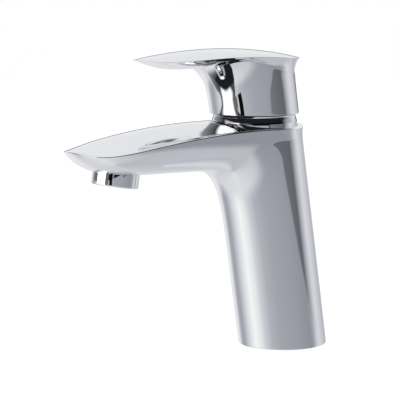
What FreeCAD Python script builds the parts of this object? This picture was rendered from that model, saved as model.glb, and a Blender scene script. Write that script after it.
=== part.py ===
import FreeCAD, Part, Sketcher
import math
import os

# Single-lever basin mixer: leaning column, leaf-shaped crowned spout and lever.
# +Z up, the spout points along -Y, X = 0 is the plane of symmetry,
# origin at the centre of the base circle on the deck. Millimetres.

V = FreeCAD.Vector
doc = FreeCAD.newDocument("basin_mixer")

# ---------------------------------------------------------------- sizes
SIZES = [
    # column and casting
    ("column_radius", 25.0),
    ("column_lean_deg", 7.9),
    ("hollow_radius", 21.5),
    ("hollow_height", 74.0),
    ("body_top_height", 127.0),
    ("body_crown", 3.1),
    ("body_rear_radius", 26.5),
    ("body_reach", 115.6),
    ("keel_height", 100.8),
    # lever
    ("lever_top_height", 166.3),
    ("lever_crown", 3.4),
    ("lever_rear_radius", 28.9),
    ("lever_reach", 68.6),
    ("skirt_radius", 24.9),
    ("skirt_bottom", 131.0),
    ("skirt_inner", 23.3),
    ("skirt_inner_top", 18.9),
    ("skirt_depth", 24.0),
    ("hub_radius", 8.5),
    ("hub_bottom", 143.0),
    ("hub_height", 18.0),
    # cartridge stack, on the vertical axis
    ("axis_forward", 18.6),
    ("seat_floor", 96.0),
    ("pocket_radius", 17.7),
    ("pocket_depth", 22.0),
    ("nut_recess_radius", 19.5),
    ("nut_recess_floor", 114.8),
    ("collar_recess_radius", 23.95),
    ("collar_recess_floor", 121.6),
    ("base_plate_radius", 17.5),
    ("base_plate_height", 4.0),
    ("port_radius", 4.0),
    ("port_offset", 9.0),
    ("seal_tube", 1.2),
    ("fixed_disc_radius", 14.5),
    ("fixed_disc_height", 3.0),
    ("moving_disc_radius", 11.5),
    ("moving_disc_height", 3.0),
    ("carrier_radius", 12.0),
    ("carrier_height", 4.0),
    ("shell_radius", 17.5),
    ("shell_inner", 15.6),
    ("shell_height", 18.4),
    ("shell_roof", 2.4),
    ("neck_radius", 14.0),
    ("neck_inner", 12.3),
    ("neck_height", 6.6),
    ("guide_radius", 12.2),
    ("guide_height", 13.4),
    ("guide_flange_radius", 15.0),
    ("guide_flange_height", 2.4),
    ("guide_base", 111.7),
    ("slot_width", 8.2),
    ("slot_length", 17.0),
    ("stem_width", 8.0),
    ("stem_side", 8.0),
    ("stem_height", 30.5),
    ("stem_base", 116.0),
    ("finger_radius", 2.4),
    ("pivot_height", 121.0),
    ("pin_radius", 1.6),
    ("pin_length", 23.0),
    ("pin_bore_gap", 0.05),
    ("nut_radius", 19.3),
    ("nut_inner", 14.5),
    ("nut_base", 118.0),
    ("nut_height", 6.0),
    ("washer_height", 0.9),
    ("collar_radius", 23.8),
    ("collar_dome", 24.4),
    ("collar_height", 11.6),
    ("collar_inner", 19.9),
    ("collar_mouth", 15.8),
    ("collar_ring_tube", 1.2),
    ("limiter_radius", 15.4),
    ("limiter_height", 2.0),
    ("screw_radius", 2.5),
    ("screw_length", 6.0),
    ("screw_height", 146.0),
    ("plug_radius", 3.4),
    ("plug_length", 3.0),
    # water ways
    ("inlet_radius", 4.6),
    ("inlet_offset", 9.0),
    ("inlet_forward", 12.5),
    ("inlet_way_forward", 13.0),
    ("inlet_depth", 10.0),
    ("inlet_way_radius", 3.6),
    ("stud_radius", 3.4),
    ("stud_depth", 12.0),
    ("stud_forward", -1.5),
    ("duct_radius", 5.5),
    ("outlet_way_radius", 4.0),
    ("duct_height", 108.6),
    # base
    ("gasket_outer", 24.1),
    ("gasket_inner", 20.5),
    ("gasket_height", 2.0),
    # aerator, along its tilted axis
    ("outlet_forward", 106.8),
    ("outlet_height", 95.7),
    ("outlet_tilt_deg", 9.0),
    ("ring_radius", 12.75),
    ("ring_height", 8.0),
    ("ring_chamfer", 1.4),
    ("ring_mouth", 10.4),
    ("thread_radius", 11.4),
    ("thread_height", 3.4),
    ("ring_bore", 9.9),
    ("socket_radius", 11.5),
    ("socket_depth", 13.4),
    ("land_radius", 12.85),
    ("grid_radius", 9.8),
    ("grid_height", 1.6),
    ("grid_rib", 0.9),
    ("insert_height", 4.0),
    ("screen_height", 0.6),
    ("regulator_height", 2.0),
    ("aerator_seal_height", 1.8),
]
sheet = doc.addObject("Spreadsheet::Sheet", "Sizes")
S = {}
for row, (alias, value) in enumerate(SIZES, start=1):
    sheet.set("A%d" % row, alias.replace("_", " "))
    sheet.set("B%d" % row, repr(value))
    sheet.setAlias("B%d" % row, alias)
doc.recompute()
for alias, value in SIZES:
    S[alias] = float(sheet.get(alias))


def term(text):
    """Value and sheet expression of a sum such as 'seat_floor + ring_height - 0.5'."""
    value = 0.0
    sign = 1.0
    words = []
    for word in text.split():
        if word in "+-":
            sign = 1.0 if word == "+" else -1.0
            words.append(word)
            continue
        number = S[word] if word in S else float(word)
        words.append("Sizes." + word if word in S else word)
        value += sign * number
        sign = 1.0
    return value, " ".join(words)


def bind(obj, prop, text):
    value, expression = term(text)
    setattr(obj, prop, value)
    obj.setExpression(prop, expression)


def frame_at(x=0.0, y=0.0, z=0.0, tilt=0.0):
    return FreeCAD.Placement(V(x, y, z), FreeCAD.Rotation(V(1, 0, 0), tilt))


def cylinder(name, radius, height, place):
    obj = doc.addObject("Part::Cylinder", name)
    bind(obj, "Radius", radius)
    bind(obj, "Height", height)
    obj.Placement = place
    return obj


def box(name, size_x, size_y, size_z, place):
    """A box centred on its placement in X and Y, standing on it in Z."""
    obj = doc.addObject("Part::Box", name)
    bind(obj, "Length", size_x)
    bind(obj, "Width", size_y)
    bind(obj, "Height", size_z)
    shift = V(-term(size_x)[0] / 2.0, -term(size_y)[0] / 2.0, 0)
    obj.Placement = place.multiply(FreeCAD.Placement(shift, FreeCAD.Rotation()))
    return obj


def cut(name, base, tools):
    tool = tools[0]
    if len(tools) > 1:
        tool = doc.addObject("Part::MultiFuse", name + "_tools")
        tool.Shapes = tools
    obj = doc.addObject("Part::Cut", name)
    obj.Base = base
    obj.Tool = tool
    obj.Label = name
    return obj


def fuse(name, shapes):
    obj = doc.addObject("Part::MultiFuse", name)
    obj.Shapes = shapes
    obj.Label = name
    return obj


def origin_plane(body, role):
    for feature in body.Origin.OriginFeatures:
        if feature.Role == role:
            return feature


def turned(name, points, place):
    """A PartDesign body revolved from a closed outline of (radius, height) sums."""
    body = doc.addObject("PartDesign::Body", name)
    body.Label = name
    sketch = body.newObject("Sketcher::SketchObject", name + "_outline")
    sketch.AttachmentSupport = [(origin_plane(body, "XZ_Plane"), "")]
    sketch.MapMode = "FlatFace"
    count = len(points)
    spots = [V(term(r)[0], term(z)[0], 0) for r, z in points]
    for i in range(count):
        sketch.addGeometry(Part.LineSegment(spots[i], spots[(i + 1) % count]), False)
    for i in range(count):
        following = (i + 1) % count
        sketch.addConstraint(Sketcher.Constraint("Coincident", i, 2, following, 1))
    for i, (r, z) in enumerate(points):
        for kind, text, axis in (("DistanceX", r, -2), ("DistanceY", z, -1)):
            value, expression = term(text)
            if abs(value) < 1e-9:
                sketch.addConstraint(Sketcher.Constraint("PointOnObject", i, 1, axis))
                continue
            made = Sketcher.Constraint(kind, -1, 1, i, 1, value)
            number = sketch.addConstraint(made)
            sketch.setExpression("Constraints[%d]" % number, expression)
    turn = body.newObject("PartDesign::Revolution", name + "_turn")
    turn.Profile = sketch
    turn.ReferenceAxis = (sketch, ["V_Axis"])
    turn.Angle = 360.0
    body.Tip = turn
    body.Placement = place
    return body



# ---------------------------------------------------------------- freeform skins
LEAN = math.tan(math.radians(S["column_lean_deg"]))
AXIS_Y = -S["axis_forward"]


def lean_forward(z):
    return z * LEAN


def ring_point(radius, angle_deg, step_deg):
    """Control point of a uniform cubic ring whose curve has the given radius."""
    wide = radius * 3.0 / (2.0 + math.cos(math.radians(step_deg)))
    angle = math.radians(angle_deg)
    return wide * math.sin(angle), wide * math.cos(angle)


def body_top(x, s):
    """Height of the casting's crowned top, s forward of the column axis."""
    tip = max(s, -30.0)
    crown = S["body_crown"] * (1.0 + 0.43 * tip / 100.0)
    z = S["body_top_height"] + 0.068 * s - 0.00121 * s * s - 0.00000204 * s ** 3
    rest = 1.0 - (x / 30.8) ** 2
    return z - 1.35 * crown * (1.0 - 0.5 * rest - 0.5 * rest * rest)


def lever_top(x, s):
    tip = max(s, -30.0)
    crown = S["lever_crown"] * (1.0 + 0.6 * tip / 100.0)
    z = S["lever_top_height"] + 0.0874 * s - 0.00265 * s * s + 0.0000072 * s ** 3
    return z - crown * (x / S["lever_rear_radius"]) ** 2


def body_outline():
    """Half outline of the spout top as ring control points (x, s), tip first."""
    reach = S["body_reach"]
    points = [(0.0, reach), (11.2, reach - 1.5), (25.6, reach - 9.2), (30.6, reach - 32.5)]
    points += [(30.8, 63.0), (29.4, 40.0), (27.4, 17.0)]
    for k in range(6):
        points.append(ring_point(S["body_rear_radius"], 100.0 + 16.0 * k, 16.0))
    return points


def lever_outline():
    reach = S["lever_reach"]
    points = [(0.0, reach), (9.8, reach - 1.9), (19.2, reach - 6.2), (25.3, reach - 22.9)]
    points += [(27.2, 27.0), (28.6, 9.0)]
    for k in range(5):
        points.append(ring_point(S["lever_rear_radius"], 104.0 + 19.0 * k, 19.0))
    return points


# how far the column flares towards the spout at three rows below the belly
FILLET = (9.0, 3.4, 1.0)


def body_generators():
    """Columns of control points from the rim down to the base, one per half-ring step."""
    outline = body_outline()
    count = len(outline) - 1
    step = 180.0 / count
    top_forward = lean_forward(S["body_top_height"])
    keel = S["keel_height"]
    reach = S["body_reach"]

    def parts(x, s):
        wide = 26.6 + 4.4 * min(max(s, 0.0), 85.0) / 85.0
        a = abs(x) / wide
        b = max(s - 86.0, 0.0) / (reach - 86.0)
        return a, b, math.hypot(a, b)

    def rise(x, s, full):
        """0 on the keel, 1 on the rim: elliptic ribs and a rounded bow."""
        a, b, far = parts(x, s)
        bow = b * b / (a * a + b * b + 1e-9)
        far = min(far / full, 1.0)
        return 1.0 - (1.0 - far ** (1.9 + 1.1 * bow)) ** (1.0 / (1.9 - 0.8 * bow))

    columns = []
    for i, (rx, rs) in enumerate(outline):
        kx, ks = ring_point(S["column_radius"], step * i, step)
        # the column ring, measured from the axis at the top's height
        rim = body_top(rx, rs)
        full = max(parts(rx, rs)[2], 0.05)
        spout = max(0.0, min(1.0, (6.8 - i) / 1.6))
        column = []
        for u in (0.0, 0.035, 0.11, 0.25, 0.46, 0.72, 1.0):
            corner = body_top(kx, ks) - 9.0
            drop_front = rim - (rim - keel) * (1.0 - rise(rx + u * (kx - rx), rs + u * (ks - rs), full))
            lean_back = (top_forward - lean_forward(drop_front)) * u
            px = rx + u * (kx - rx)
            ps = rs + u * (ks - rs) - lean_back
            flare = 1.0 - (1.0 - u) ** 2.0
            qz = rim + (corner - rim) * u
            qx = rx + flare * (kx - rx)
            qs = rs + flare * (ks - rs) - (top_forward - lean_forward(qz)) * flare
            column.append((spout * px + (1.0 - spout) * qx,
                           spout * ps + (1.0 - spout) * qs,
                           spout * drop_front + (1.0 - spout) * qz))
        low = column[-1][2]
        away = max(math.hypot(rx - kx, rs - ks), 1.0)
        bx, bs = spout * (rx - kx) / away, spout * (rs - ks) / away
        x, s, z = column[-1]
        column[-1] = (x + FILLET[0] * bx, s + FILLET[0] * bs, z)
        last = low - 12.0 - 6.0 * spout
        levels = [(low - 6.0 - 3.0 * spout, FILLET[1]), (last, FILLET[2])]
        levels += [(last * (1.0 - part), 0.0) for part in (0.22, 0.42, 0.62, 0.82, 0.94, 1.0)]
        for z, reach in levels:
            column.append((kx + reach * bx, ks + reach * bs - (top_forward - lean_forward(z)), z))
        columns.append(column)
    return columns, top_forward


# how far the front of the skirt flares under the lever, row by row
SKIRT_FLARE = (11.0, 6.2, 2.8, 0.8)


def lever_generators():
    outline = lever_outline()
    count = len(outline) - 1
    step = 180.0 / count
    top_forward = lean_forward(S["lever_top_height"])
    base_forward = S["axis_forward"]
    reach = S["lever_reach"]

    def skirt_shift(z):
        """Forward place of the skirt's centre, from the lever's own axis."""
        return base_forward + (z - S["skirt_bottom"]) * LEAN - top_forward

    def rise(x, s):
        a = min(abs(x) / 29.0, 1.0)
        b = min(max(s - 30.0, 0.0) / (reach - 30.0), 1.0)
        side = 1.0 - (1.0 - a ** 2.4) ** (1.0 / 2.4)
        return 1.0 - (1.0 - side) * (1.0 - b ** 3.4)

    columns = []
    for i, (rx, rs) in enumerate(outline):
        kx, ks = ring_point(S["skirt_radius"], step * i, step)
        rim = lever_top(rx, rs)
        full = max(rise(rx, rs), 0.05)
        front = max(0.0, min(1.0, (5.8 - i) / 1.6))
        column = []
        for u in (0.0, 0.05, 0.14, 0.32, 0.55, 0.74, 1.0):
            x = rx + u * (kx - rx)
            s = rs + u * (ks - rs)
            under = lever_top(26.0, s) - 5.6
            pz = rim + (under - rim) * (1.0 - rise(x, s) / full) * min(1.0, 4.0 * u + 0.15 * (u > 0.0))
            flare = 1.0 - (1.0 - u) ** 2.0
            qz = rim + (lever_top(kx, ks) - 10.0 - rim) * u
            qx = rx + flare * (kx - rx)
            qs = rs + flare * (ks + skirt_shift(qz) - rs)
            s += skirt_shift(pz) * u
            column.append((front * x + (1.0 - front) * qx,
                           front * s + (1.0 - front) * qs,
                           front * pz + (1.0 - front) * qz))
        low = column[-1][2]
        away = math.hypot(rx - kx, rs - ks)
        grow = front * min(1.0, away / 44.0) / max(away, 1.0)
        bx, bs = grow * (rx - kx), grow * (rs - ks)
        x, s, z = column[-1]
        column[-1] = (x + SKIRT_FLARE[0] * bx, s + SKIRT_FLARE[0] * bs, z)
        rest = low - 12.0 - S["skirt_bottom"]
        levels = [(low - 3.0, SKIRT_FLARE[1]), (low - 7.0, SKIRT_FLARE[2]),
                  (low - 12.0, SKIRT_FLARE[3]), (S["skirt_bottom"] + 0.5 * rest, 0.0),
                  (S["skirt_bottom"], 0.0)]
        for z, reach_out in levels:
            column.append((kx + reach_out * bx, ks + reach_out * bs + skirt_shift(z), z))
        columns.append(column)
    return columns, top_forward


def skin_solid(columns, forward, roof, floor):
    """Closed solid below a flat roof from the control columns of half a ring."""
    full = list(columns)
    for column in reversed(columns[1:-1]):
        full.append([(-x, s, z) for x, s, z in column])
    poles = []
    for column in full:
        rim = column[0]
        below = column[1]
        above = (2 * rim[0] - below[0], 2 * rim[1] - below[1], 2 * rim[2] - below[2])
        last = column[-1]
        over = column[-2]
        under = (2 * last[0] - over[0], 2 * last[1] - over[1], 2 * last[2] - over[2])
        raised = (above[0], above[1], 0.5 * (above[2] + roof))
        line = [(above[0], above[1], 2 * roof - raised[2]), (above[0], above[1], roof), raised]
        line += [above] + list(column) + [under]
        poles.append([V(x, -(s + forward), z) for x, s, z in line])
    around = len(poles)
    down = len(poles[0])
    poles.append(poles[0])
    surface = Part.BSplineSurface()
    wrapped = poles[:-1]
    surface.buildFromPolesMultsKnots(
        wrapped, [1] * (around + 1), [1] * (down + 4),
        [float(k) for k in range(around + 1)], [float(k) for k in range(down + 4)],
        True, False, 3, 3)
    surface.segment(0.0, float(around), 3.0, float(down))
    side = surface.toShape()
    rims = [edge for edge in side.Edges if edge.isClosed() and not edge.isSeam(side.Faces[0])]
    caps = [Part.Face(Part.Wire([edge])) for edge in rims]
    shell = Part.makeShell([side.Faces[0]] + caps)
    shell.sewShape()
    solid = Part.makeSolid(Part.Shell(shell.Faces))
    if solid.Volume < 0:
        solid.reverse()
    return solid


def above_top(height, forward, roof):
    """Solid above the crowned top, used to trim a skin."""
    rows = []
    for a in range(15):
        s = -60.0 + 15.0 * a
        rows.append([V(x, -(s + forward), height(x, s)) for x in (-45, -30, -15, 0, 15, 30, 45)])
    surface = Part.BSplineSurface()
    surface.interpolate(rows)
    return surface.toShape().Faces[0].extrude(V(0, 0, roof))


def feature(name, shape):
    obj = doc.addObject("Part::Feature", name)
    obj.Shape = shape
    obj.Placement = FreeCAD.Placement()
    return obj


body_columns, body_forward = body_generators()
body_skin = skin_solid(body_columns, body_forward, 141.0, 0.0)
body_skin = body_skin.cut(above_top(body_top, body_forward, 60.0))
casting_skin = feature("casting_skin", body_skin)

lever_columns, lever_forward = lever_generators()
lever_skin = skin_solid(lever_columns, lever_forward, 180.0, S["skirt_bottom"])
lever_skin = lever_skin.cut(above_top(lever_top, lever_forward, 60.0))
handle_skin = feature("handle_skin", lever_skin)

# ---------------------------------------------------------------- body casting
hollow_ring = doc.addObject("Part::Circle", "hollow_ring")
bind(hollow_ring, "Radius", "hollow_radius")
hollow_ring.Placement = frame_at(0, lean_forward(1.0), -1.0)
hollow = doc.addObject("Part::Extrusion", "hollow")
hollow.Base = hollow_ring
hollow.DirMode = "Custom"
hollow.Dir = V(0, -LEAN, 1.0).normalize()
hollow.LengthFwd = (S["hollow_height"] + 1.0) * math.sqrt(1.0 + LEAN * LEAN)
hollow.Solid = True
gasket_recess = cylinder("gasket_recess", "gasket_outer", "gasket_height + 1",
                         frame_at(z=-1.0))
pocket = cylinder("pocket", "pocket_radius", "pocket_depth + 40", frame_at(y=AXIS_Y, z=S["seat_floor"]))
nut_recess = cylinder("nut_recess", "nut_recess_radius", "pocket_depth + 20",
                      frame_at(y=AXIS_Y, z=S["nut_recess_floor"]))
collar_recess = cylinder("collar_recess", "collar_recess_radius", "pocket_depth + 10",
                         frame_at(y=AXIS_Y, z=S["collar_recess_floor"]))
casting_tools = [hollow, gasket_recess, pocket, nut_recess, collar_recess]
block_floor = S["hollow_height"]
for side, sign in (("hot", -1.0), ("cold", 1.0)):
    x = sign * S["inlet_offset"]
    y = -S["inlet_forward"]
    casting_tools.append(cylinder("inlet_thread_" + side, "inlet_radius", "inlet_depth + 1",
                                  frame_at(x, y, block_floor - 1.0)))
    casting_tools.append(cylinder("inlet_way_" + side, "inlet_way_radius",
                                  "seat_floor - hollow_height - inlet_depth + 1.2",
                                  frame_at(x, -S["inlet_way_forward"],
                                           block_floor + S["inlet_depth"] - 0.2)))
casting_tools.append(cylinder("stud_thread", "stud_radius", "stud_depth + 1",
                              frame_at(0, -S["stud_forward"], block_floor - 1.0)))


def pipe(name, radius, start, end):
    """A cylinder from one point to another."""
    along = end - start
    obj = doc.addObject("Part::Cylinder", name)
    bind(obj, "Radius", radius)
    obj.Height = along.Length
    obj.Placement = FreeCAD.Placement(start, FreeCAD.Rotation(V(0, 0, 1), along))
    return obj


port_y = AXIS_Y - 10.5
riser_y = AXIS_Y - 16.4
duct_end = V(0, -S["outlet_forward"] + 1.5, S["duct_height"])
way_low = S["seat_floor"] - 3.6
casting_tools.append(cylinder("outlet_way", "outlet_way_radius - 1", "4.6", frame_at(0, port_y, way_low)))
casting_tools.append(cylinder("riser", "outlet_way_radius - 1", "duct_height - seat_floor + 3.6",
                              frame_at(0, riser_y, way_low)))
casting_tools.append(pipe("duct_run", "duct_radius", V(0, riser_y, S["duct_height"]), duct_end))
TILT = -S["outlet_tilt_deg"]
OUT = FreeCAD.Placement(V(0, -S["outlet_forward"], S["outlet_height"]),
                        FreeCAD.Rotation(V(1, 0, 0), TILT))


def along_outlet(w):
    return OUT.multiply(FreeCAD.Placement(V(0, 0, w), FreeCAD.Rotation()))


casting_tools.append(cylinder("aerator_socket", "socket_radius", "socket_depth", along_outlet(0.0)))
casting_tools.append(cylinder("aerator_land", "land_radius", "ring_height + 0.1", along_outlet(0.0)))
blank = casting_skin
groups = [casting_tools[:2], casting_tools[2:5], casting_tools[5:10], casting_tools[10:13]]
for number, group in enumerate(groups):
    blank = cut("casting_stage_%d" % number, blank, group)
body_casting = cut("body_casting", blank, casting_tools[13:])

base_gasket = turned("base_gasket", [
    ("gasket_inner", "0"), ("gasket_outer - 0.1", "0"),
    ("gasket_outer - 0.1", "gasket_height"), ("gasket_inner", "gasket_height")], frame_at())

# ---------------------------------------------------------------- cartridge
def on_axis(z):
    return frame_at(y=AXIS_Y, z=z)


SEAT = S["seat_floor"]
plate_top = SEAT + S["base_plate_height"] + 0.6
plate_disc = cylinder("plate_disc", "base_plate_radius", "base_plate_height", on_axis(SEAT + 0.6))
ports = [(-S["port_offset"], 5.6), (S["port_offset"], 5.6), (0.0, -10.5)]
plate_tools = []
for n, (px, py) in enumerate(ports):
    plate_tools.append(cylinder("plate_port_%d" % n, "port_radius - 0.8", "base_plate_height + 2",
                                frame_at(px, AXIS_Y + py, SEAT)))
    plate_tools.append(cylinder("plate_groove_%d" % n, "port_radius + 1.4", "1.6",
                                frame_at(px, AXIS_Y + py, SEAT + 0.2)))
cartridge_base = cut("cartridge_base", plate_disc, plate_tools)

seal_rings = []
for n, (px, py) in enumerate(ports):
    ring = doc.addObject("Part::Torus", "port_seal_ring_%d" % n)
    bind(ring, "Radius1", "port_radius")
    bind(ring, "Radius2", "seal_tube - 0.35")
    ring.Placement = frame_at(px, AXIS_Y + py, SEAT + 0.9)
    seal_rings.append(ring)
port_seals = fuse("port_seals", seal_rings)

disc_bottom = plate_top
fixed_disc = cylinder("fixed_disc", "fixed_disc_radius", "fixed_disc_height", on_axis(disc_bottom))
disc_ports = [cylinder("disc_port_%d" % n, "port_radius - 0.9", "fixed_disc_height + 2",
                       frame_at(px * 0.8, AXIS_Y + py * 0.75, disc_bottom - 1.0))
              for n, (px, py) in enumerate(ports)]
fixed_ceramic_disc = cut("fixed_ceramic_disc", fixed_disc, disc_ports)

slide_bottom = disc_bottom + S["fixed_disc_height"]
slide_disc = cylinder("slide_disc", "moving_disc_radius", "moving_disc_height", on_axis(slide_bottom))
slide_pocket = cylinder("slide_pocket", "port_radius + 2", "moving_disc_height - 1.5",
                        frame_at(0, AXIS_Y - 1.0, slide_bottom - 0.2))
moving_ceramic_disc = cut("moving_ceramic_disc", slide_disc, [slide_pocket])

carrier_bottom = slide_bottom + S["moving_disc_height"]
carrier_plate = cylinder("carrier_plate", "carrier_radius", "carrier_height", on_axis(carrier_bottom))
carrier_socket = cylinder("carrier_socket", "finger_radius + 0.6", "carrier_height",
                          on_axis(carrier_bottom + 1.2))
disc_carrier = cut("disc_carrier", carrier_plate, [carrier_socket])

shell_bottom = plate_top
cartridge_housing = turned("cartridge_housing", [
    ("shell_inner", "0"), ("shell_radius", "0"), ("shell_radius", "shell_height"),
    ("neck_radius", "shell_height"), ("neck_radius", "shell_height + neck_height"),
    ("neck_inner", "shell_height + neck_height"), ("neck_inner", "shell_height - shell_roof"),
    ("shell_inner", "shell_height - shell_roof")], on_axis(shell_bottom))

guide_round = cylinder("guide_round", "guide_radius", "guide_height", on_axis(S["guide_base"]))
guide_flange = cylinder("guide_flange", "guide_flange_radius", "guide_flange_height",
                        on_axis(S["guide_base"]))
guide_blank = fuse("guide_blank", [guide_round, guide_flange])
guide_slot = box("guide_slot", "slot_width", "slot_length", "guide_height + 4",
                 on_axis(S["guide_base"] - 2.0))
pin_hole = doc.addObject("Part::Cylinder", "guide_pin_hole")
bind(pin_hole, "Radius", "pin_radius")
bind(pin_hole, "Height", "pin_length + 6")
side_turn = FreeCAD.Rotation(V(0, 1, 0), 90)
pin_hole.Placement = FreeCAD.Placement(V(-14.5, AXIS_Y, S["pivot_height"]), side_turn)
stem_guide = cut("stem_guide", guide_blank, [guide_slot, pin_hole])

pivot_pin = doc.addObject("Part::Cylinder", "pivot_pin")
bind(pivot_pin, "Radius", "pin_radius")
bind(pivot_pin, "Height", "pin_length")
pivot_pin.Placement = FreeCAD.Placement(V(-S["pin_length"] / 2.0, AXIS_Y, S["pivot_height"]), side_turn)

stem_block = box("stem_block", "stem_width", "stem_side", "stem_height", on_axis(S["stem_base"]))
stem_finger = doc.addObject("Part::Cylinder", "stem_finger")
bind(stem_finger, "Radius", "finger_radius")
bind(stem_finger, "Height", "8.2")
stem_finger.Placement = on_axis(S["stem_base"] - 7.6)
stem_blank = fuse("stem_blank", [stem_block, stem_finger])
stem_hole = doc.addObject("Part::Cylinder", "stem_pin_hole")
bind(stem_hole, "Radius", "pin_radius + pin_bore_gap")
bind(stem_hole, "Height", "stem_width + 4")
stem_hole.Placement = FreeCAD.Placement(V(-6.0, AXIS_Y, S["pivot_height"]), side_turn)
cartridge_stem = cut("cartridge_stem", stem_blank, [stem_hole])

limiter_bottom = shell_bottom + S["shell_height"] + S["neck_height"] + 0.2
shoulder = shell_bottom + S["shell_height"]
friction_washer = turned("friction_washer", [
    ("nut_inner", "0"), ("shell_radius", "0"), ("shell_radius", "washer_height"),
    ("nut_inner", "washer_height")], on_axis(shoulder))
cartridge_nut = turned("cartridge_nut", [
    ("nut_inner", "0"), ("nut_radius", "0"), ("nut_radius", "nut_height - 1.2"),
    ("nut_radius - 1.2", "nut_height"), ("nut_inner", "nut_height")],
    on_axis(shoulder + S["washer_height"]))
limit_round = turned("temperature_limiter", [
    ("neck_radius + 0.1", "0"), ("limiter_radius", "0"), ("limiter_radius", "limiter_height"),
    ("neck_radius + 0.1", "limiter_height")],
    on_axis(shoulder + S["washer_height"] + S["nut_height"] + 0.1))

# ---------------------------------------------------------------- collar
# a band round the top of the casting, its outside a zone of a sphere about the stem's pivot
recess_floor = S["collar_recess_floor"]
collar_ball = doc.addObject("Part::Sphere", "collar_ball")
bind(collar_ball, "Radius", "collar_dome")
collar_ball.Placement = on_axis(S["pivot_height"])
collar_band = cylinder("collar_band", "collar_radius", "collar_height", on_axis(recess_floor))
collar_solid = doc.addObject("Part::Common", "collar_solid")
collar_solid.Base = collar_band
collar_solid.Tool = collar_ball
collar_bore = cylinder("collar_bore", "collar_inner", "collar_height - 1.8", on_axis(recess_floor - 0.5))
collar_hole = cylinder("collar_hole", "collar_mouth", "collar_height + 2", on_axis(recess_floor - 0.5))
seal_groove = doc.addObject("Part::Torus", "collar_seal_groove")
bind(seal_groove, "Radius1", "collar_radius - 0.4")
bind(seal_groove, "Radius2", "collar_ring_tube")
seal_groove.Placement = on_axis(recess_floor + 1.6)
cartridge_collar = cut("cartridge_collar", collar_solid, [collar_bore, collar_hole, seal_groove])
collar_ring = doc.addObject("Part::Torus", "collar_seal")
bind(collar_ring, "Radius1", "collar_radius - 0.75")
bind(collar_ring, "Radius2", "collar_ring_tube - 0.45")
collar_ring.Placement = on_axis(recess_floor + 1.6)

# ---------------------------------------------------------------- handle
skirt_space = doc.addObject("Part::Cone", "skirt_space")
bind(skirt_space, "Radius1", "skirt_inner")
bind(skirt_space, "Radius2", "skirt_inner_top")
bind(skirt_space, "Height", "skirt_depth + 0.5")
skirt_space.Placement = on_axis(S["skirt_bottom"] - 0.5)
hub = cylinder("hub", "hub_radius", "hub_height", on_axis(S["hub_bottom"]))
handle_shell = cut("handle_shell", handle_skin, [skirt_space])
handle_blank = fuse("handle_blank", [handle_shell, hub])
stem_socket = box("stem_socket", "stem_width + 0.1", "stem_side + 0.1", "6",
                  on_axis(S["hub_bottom"] - 1.0))
stem_socket.setExpression("Height", "Sizes.stem_base + Sizes.stem_height - Sizes.hub_bottom + 1.1")
screw_turn = FreeCAD.Rotation(V(1, 0, 0), -90)
screw_way = doc.addObject("Part::Cylinder", "screw_way")
bind(screw_way, "Radius", "screw_radius")
screw_way.Height = 40.0
screw_way.Placement = FreeCAD.Placement(V(0, AXIS_Y + 3.0, S["screw_height"]), screw_turn)
plug_way = doc.addObject("Part::Cylinder", "plug_way")
bind(plug_way, "Radius", "plug_radius")
plug_way.Height = 12.0
plug_way.Placement = FreeCAD.Placement(V(0, 1.6, S["screw_height"]), screw_turn)
handle = cut("handle", handle_blank, [stem_socket, screw_way, plug_way])

set_screw_blank = doc.addObject("Part::Cylinder", "set_screw_blank")
bind(set_screw_blank, "Radius", "screw_radius - 0.02")
bind(set_screw_blank, "Height", "screw_length")
set_screw_blank.Placement = FreeCAD.Placement(V(0, AXIS_Y + 4.05, S["screw_height"]), screw_turn)
hex_key = doc.addObject("Part::Prism", "set_screw_key")
hex_key.Polygon = 6
hex_key.Circumradius = 1.45
hex_key.Height = 4.0
hex_key.Placement = FreeCAD.Placement(V(0, AXIS_Y + 7.5, S["screw_height"]), screw_turn)
handle_set_screw = cut("handle_set_screw", set_screw_blank, [hex_key])

plug_blank = doc.addObject("Part::Cylinder", "plug_blank")
bind(plug_blank, "Radius", "plug_radius - 0.03")
bind(plug_blank, "Height", "plug_length + 8")
plug_blank.Placement = FreeCAD.Placement(V(0, 1.7, S["screw_height"]), screw_turn)
handle_plug = doc.addObject("Part::Common", "handle_plug")
handle_plug.Base = plug_blank
handle_plug.Tool = handle_skin
handle_plug.Label = "handle_plug"

# ---------------------------------------------------------------- aerator
aerator_housing = turned("aerator_housing", [
    ("ring_mouth - 1.2", "0"), ("ring_radius - ring_chamfer", "0"),
    ("ring_radius", "ring_chamfer"), ("ring_radius", "ring_height"),
    ("thread_radius", "ring_height"), ("thread_radius", "ring_height + thread_height"),
    ("ring_bore", "ring_height + thread_height"), ("ring_bore", "1.2"),
    ("ring_mouth - 1.2", "1.2")], along_outlet(0.0))
grid_rim = turned("aerator_grid_rim", [
    ("grid_radius - 1.3", "0"), ("grid_radius", "0"), ("grid_radius", "grid_height"),
    ("grid_radius - 1.3", "grid_height")], along_outlet(1.25))
ribs = [grid_rim]
for n in range(-2, 3):
    place = along_outlet(1.25).multiply(frame_at(y=3.4 * n))
    half = math.sqrt(S["grid_radius"] ** 2 - (3.4 * n) ** 2)
    bar = box("grid_bar_x%d" % (n + 2), "grid_rib", "grid_rib", "grid_height", place)
    bar.setExpression("Length", None)
    bar.Length = 2.0 * half - 1.0
    bar.Placement = place.multiply(frame_at(-half + 0.5, -S["grid_rib"] / 2.0, 0))
    ribs.append(bar)
    place = along_outlet(1.25).multiply(frame_at(x=3.4 * n))
    bar = box("grid_bar_y%d" % (n + 2), "grid_rib", "grid_rib", "grid_height", place)
    bar.setExpression("Width", None)
    bar.Width = 2.0 * half - 1.0
    bar.Placement = place.multiply(frame_at(-S["grid_rib"] / 2.0, -half + 0.5, 0))
    ribs.append(bar)
outlet_grid = fuse("aerator_outlet_grid", ribs)

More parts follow.
